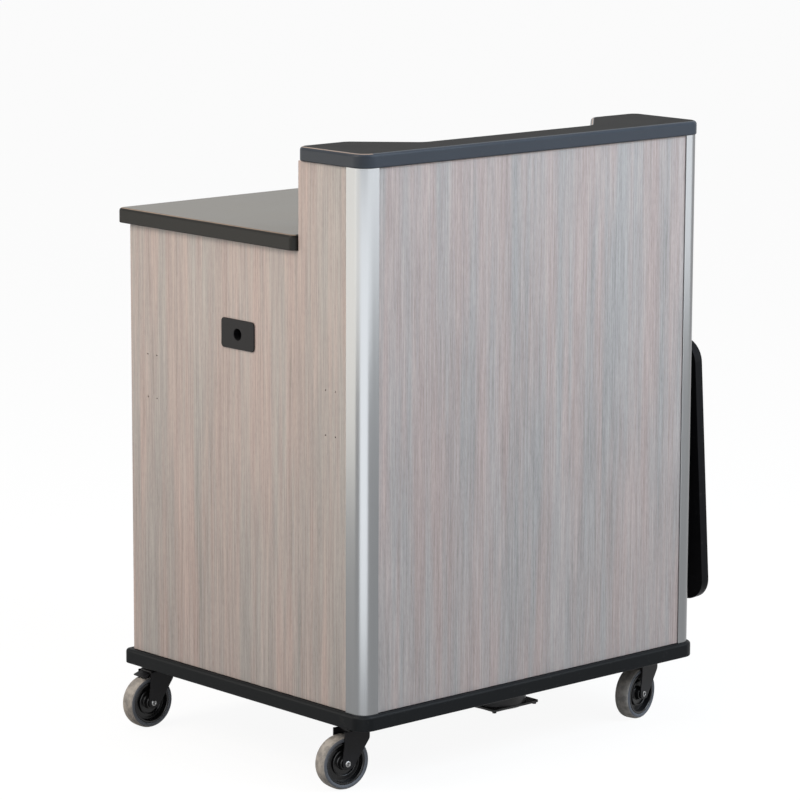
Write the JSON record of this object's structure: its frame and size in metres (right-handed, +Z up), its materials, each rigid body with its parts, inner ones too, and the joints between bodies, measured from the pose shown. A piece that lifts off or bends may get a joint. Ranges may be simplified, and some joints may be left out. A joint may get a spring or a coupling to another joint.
{
  "type": "lectern",
  "caption": "Mobile lectern: laminate cabinet with a raised audience side, doors, a fold-down side shelf, a floor fan and braked swivel casters.",
  "frame": {"origin": "centre of the whole lectern's outline on the floor, with the side shelf folded down", "axes": "+Z up; the audience stands at -Y and the presenter at +Y; the fold-down shelf hangs on the +X side"},
  "size_m": [0.9746, 0.705, 1.182],
  "materials": {
    "base_board": "black laminate, satin",
    "side_panel_left": "grey-brown wood-grain laminate, matte",
    "side_panel_right": "grey-brown wood-grain laminate, matte",
    "cable_plate": "black, moulded",
    "front_panel": "grey-brown wood-grain laminate, matte",
    "corner_post_left": "satin anodised",
    "corner_post_right": "satin anodised",
    "worktop": "black laminate, satin",
    "riser_panel": "grey-brown wood-grain laminate, matte",
    "top_cap": "black laminate, satin",
    "inner_shelf": "white laminate, matte",
    "shelf_cleat_right": "white laminate, matte",
    "shelf_cleat_left": "white laminate, matte",
    "door_left": "grey-brown wood-grain laminate, matte",
    "hinge_left_door_leaf": "zinc plated",
    "hinge_left_cabinet_leaf": "zinc plated",
    "hinge_left_pin": "zinc plated",
    "door_pull_left": "black powder coat",
    "door_right": "grey-brown wood-grain laminate, matte",
    "hinge_right_door_leaf": "zinc plated",
    "hinge_right_cabinet_leaf": "zinc plated",
    "hinge_right_pin": "zinc plated",
    "door_pull_right": "black powder coat",
    "lock_barrel": "zinc plated",
    "lock_cam": "zinc plated",
    "fold_shelf": "black laminate, satin",
    "bracket_leg_front": "black powder coat",
    "bracket_arm_front": "black powder coat",
    "bracket_brace_front": "black powder coat",
    "bracket_leg_rear": "black powder coat",
    "bracket_arm_rear": "black powder coat",
    "bracket_brace_rear": "black powder coat",
    "fan_frame": "black, moulded",
    "fan_rotor": "black, moulded",
    "fan_guard": "zinc plated",
    "caster_front_left_plate": "black powder coat",
    "caster_front_left_fork": "black powder coat",
    "caster_front_left_axle": "zinc plated",
    "caster_front_left_hub": "black, moulded",
    "caster_front_left_tyre": "grey thermoplastic rubber",
    "caster_front_right_plate": "black powder coat",
    "caster_front_right_fork": "black powder coat",
    "caster_front_right_axle": "zinc plated",
    "caster_front_right_hub": "black, moulded",
    "caster_front_right_tyre": "grey thermoplastic rubber",
    "caster_rear_left_plate": "black powder coat",
    "caster_rear_left_fork": "black powder coat",
    "caster_rear_left_axle": "zinc plated",
    "caster_rear_left_hub": "black, moulded",
    "caster_rear_left_tyre": "grey thermoplastic rubber",
    "caster_rear_left_pedal": "black powder coat",
    "caster_rear_right_plate": "black powder coat",
    "caster_rear_right_fork": "black powder coat",
    "caster_rear_right_axle": "zinc plated",
    "caster_rear_right_hub": "black, moulded",
    "caster_rear_right_tyre": "grey thermoplastic rubber",
    "caster_rear_right_pedal": "black powder coat"
  },
  "bodies": {
    "cabinet": {"base_board": "base_board", "side_panel_left": "side_panel_left", "side_panel_right": "side_panel_right", "cable_plate": "cable_plate", "front_panel": "front_panel", "corner_post_left": "corner_post_left", "corner_post_right": "corner_post_right", "worktop": "worktop", "riser_panel": "riser_panel", "top_cap": "top_cap", "inner_shelf": "inner_shelf", "shelf_cleat_left": "shelf_cleat_left", "shelf_cleat_right": "shelf_cleat_right", "hinge_left_cabinet_leaf": "hinge_left_cabinet_leaf", "hinge_left_pin": "hinge_left_pin", "hinge_right_cabinet_leaf": "hinge_right_cabinet_leaf", "hinge_right_pin": "hinge_right_pin", "bracket_leg_front": "bracket_leg_front", "bracket_leg_rear": "bracket_leg_rear", "fan_frame": "fan_frame", "fan_guard": "fan_guard", "caster_front_left_plate": "caster_front_left_plate", "caster_front_right_plate": "caster_front_right_plate", "caster_rear_left_plate": "caster_rear_left_plate", "caster_rear_right_plate": "caster_rear_right_plate"},
    "door_left": {"door_left": "door_left", "hinge_left_door_leaf": "hinge_left_door_leaf", "door_pull_left": "door_pull_left"},
    "door_right": {"door_right": "door_right", "hinge_right_door_leaf": "hinge_right_door_leaf", "door_pull_right": "door_pull_right", "lock_barrel": "lock_barrel"},
    "lock_cam": {"lock_cam": "lock_cam"},
    "fold_shelf": {"fold_shelf": "fold_shelf", "bracket_arm_front": "bracket_arm_front", "bracket_arm_rear": "bracket_arm_rear"},
    "braces": {"bracket_brace_front": "bracket_brace_front", "bracket_brace_rear": "bracket_brace_rear"},
    "fan_rotor": {"fan_rotor": "fan_rotor"},
    "caster_front_left_swivel": {"caster_front_left_fork": "caster_front_left_fork", "caster_front_left_axle": "caster_front_left_axle"},
    "caster_front_left_wheel": {"caster_front_left_hub": "caster_front_left_hub", "caster_front_left_tyre": "caster_front_left_tyre"},
    "caster_front_right_swivel": {"caster_front_right_fork": "caster_front_right_fork", "caster_front_right_axle": "caster_front_right_axle"},
    "caster_front_right_wheel": {"caster_front_right_hub": "caster_front_right_hub", "caster_front_right_tyre": "caster_front_right_tyre"},
    "caster_rear_left_swivel": {"caster_rear_left_fork": "caster_rear_left_fork", "caster_rear_left_axle": "caster_rear_left_axle"},
    "caster_rear_left_wheel": {"caster_rear_left_hub": "caster_rear_left_hub", "caster_rear_left_tyre": "caster_rear_left_tyre"},
    "caster_rear_left_pedal": {"caster_rear_left_pedal": "caster_rear_left_pedal"},
    "caster_rear_right_swivel": {"caster_rear_right_fork": "caster_rear_right_fork", "caster_rear_right_axle": "caster_rear_right_axle"},
    "caster_rear_right_wheel": {"caster_rear_right_hub": "caster_rear_right_hub", "caster_rear_right_tyre": "caster_rear_right_tyre"},
    "caster_rear_right_pedal": {"caster_rear_right_pedal": "caster_rear_right_pedal"}
  },
  "joints": [
    {"name": "door_left_swing", "type": "hinge", "parent": "cabinet", "child": "door_left", "pos_m": [-0.43524, 0.3308, 0.5735], "axis": [0, 0, 1], "range_deg": [0, 110]},
    {"name": "door_right_swing", "type": "hinge", "parent": "cabinet", "child": "door_right", "pos_m": [0.38386, 0.3308, 0.5735], "axis": [0, 0, -1], "range_deg": [0, 110]},
    {"name": "lock_turn", "type": "hinge", "parent": "door_right", "child": "lock_cam", "pos_m": [0.00931, 0.3275, 0.856], "axis": [0, 1, 0], "range_deg": [0, 90]},
    {"name": "shelf_fold", "type": "hinge", "parent": "cabinet", "child": "fold_shelf", "pos_m": [0.42231, -0.2535, 0.734], "axis": [0, -1, 0], "range_deg": [0, 86.1]},
    {"name": "brace_fold", "type": "hinge", "parent": "cabinet", "child": "braces", "pos_m": [0.42231, -0.2535, 0.674], "axis": [0, -1, 0], "range_deg": [0, 105.4]},
    {"name": "fan_spin", "type": "hinge", "parent": "cabinet", "child": "fan_rotor", "pos_m": [-0.02569, -0.241, 0.108], "axis": [0, 0, 1], "continuous": true},
    {"name": "caster_front_left_turn", "type": "hinge", "parent": "cabinet", "child": "caster_front_left_swivel", "pos_m": [-0.40569, -0.2665, 0.114], "axis": [0, 0, 1], "continuous": true},
    {"name": "caster_front_left_roll", "type": "hinge", "parent": "caster_front_left_swivel", "child": "caster_front_left_wheel", "pos_m": [-0.43532, -0.26181, 0.051], "axis": [-0.1564, -0.9877, 0], "continuous": true},
    {"name": "caster_front_right_turn", "type": "hinge", "parent": "cabinet", "child": "caster_front_right_swivel", "pos_m": [0.35431, -0.2665, 0.114], "axis": [0, 0, 1], "continuous": true},
    {"name": "caster_front_right_roll", "type": "hinge", "parent": "caster_front_right_swivel", "child": "caster_front_right_wheel", "pos_m": [0.32486, -0.27222, 0.051], "axis": [0.1908, -0.9816, 0], "continuous": true},
    {"name": "caster_rear_left_turn", "type": "hinge", "parent": "cabinet", "child": "caster_rear_left_swivel", "pos_m": [-0.40569, 0.3115, 0.114], "axis": [0, 0, 1], "continuous": true},
    {"name": "caster_rear_left_roll", "type": "hinge", "parent": "caster_rear_left_swivel", "child": "caster_rear_left_wheel", "pos_m": [-0.43567, 0.31255, 0.051], "axis": [-0.0349, -0.9994, 0], "continuous": true},
    {"name": "caster_rear_left_brake", "type": "hinge", "parent": "caster_rear_left_swivel", "child": "caster_rear_left_pedal", "pos_m": [-0.43467, 0.31251, 0.1105], "axis": [-0.0349, -0.9994, 0], "range_deg": [-14, 0]},
    {"name": "caster_rear_right_turn", "type": "hinge", "parent": "cabinet", "child": "caster_rear_right_swivel", "pos_m": [0.35431, 0.3115, 0.114], "axis": [0, 0, 1], "continuous": true},
    {"name": "caster_rear_right_roll", "type": "hinge", "parent": "caster_rear_right_swivel", "child": "caster_rear_right_wheel", "pos_m": [0.32438, 0.31359, 0.051], "axis": [-0.0698, -0.9976, 0], "continuous": true},
    {"name": "caster_rear_right_brake", "type": "hinge", "parent": "caster_rear_right_swivel", "child": "caster_rear_right_pedal", "pos_m": [0.32538, 0.31352, 0.1105], "axis": [-0.0698, -0.9976, 0], "range_deg": [0, 14]}
  ],
  "couplings": [
    {"joint": "brace_fold", "follows": "shelf_fold", "ratio": 1.2241}
  ]
}
